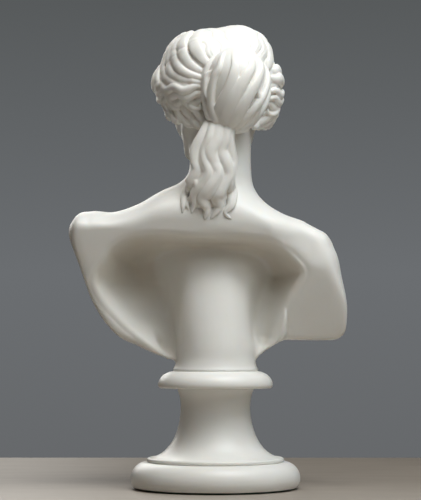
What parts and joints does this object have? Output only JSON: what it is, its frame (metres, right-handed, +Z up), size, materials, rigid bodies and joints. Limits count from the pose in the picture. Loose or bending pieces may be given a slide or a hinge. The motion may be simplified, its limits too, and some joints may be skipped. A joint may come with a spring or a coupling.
{
  "type": "marble bust",
  "caption": "Classical marble bust of a woman with gathered hair, hollowed at the back round a column, on a turned round socle.",
  "frame": {"origin": "on the socle's axis, in the plane where the felt under the base meets the table", "axes": "+Z up along the socle's axis; the bust's chest faces -Y; +X is towards the bust's own left, where its face turns"},
  "size_m": [0.1806, 0.1104, 0.299],
  "materials": {
    "marble": "fine white marble, honed to a soft low sheen",
    "adhesive": "cured stone adhesive",
    "resin": "cast anchoring resin",
    "steel": "zinc-plated steel",
    "brass": "turned brass",
    "rubber": "black sheet rubber",
    "felt": "pressed wool felt"
  },
  "bodies": {
    "root": {"bust": "marble", "collar": "marble", "stem": "marble", "plinth": "marble", "bust_bed": "adhesive", "collar_bed": "adhesive", "stem_bed": "adhesive", "dowel_pins": "brass", "tie_rod": "steel", "anchor_sleeve": "brass", "anchor_resin": "resin", "cushion_washer": "rubber", "plate_washer": "steel", "spring_washer": "steel", "hex_nut": "steel", "felt_ring": "felt"}
  },
  "joints": []
}
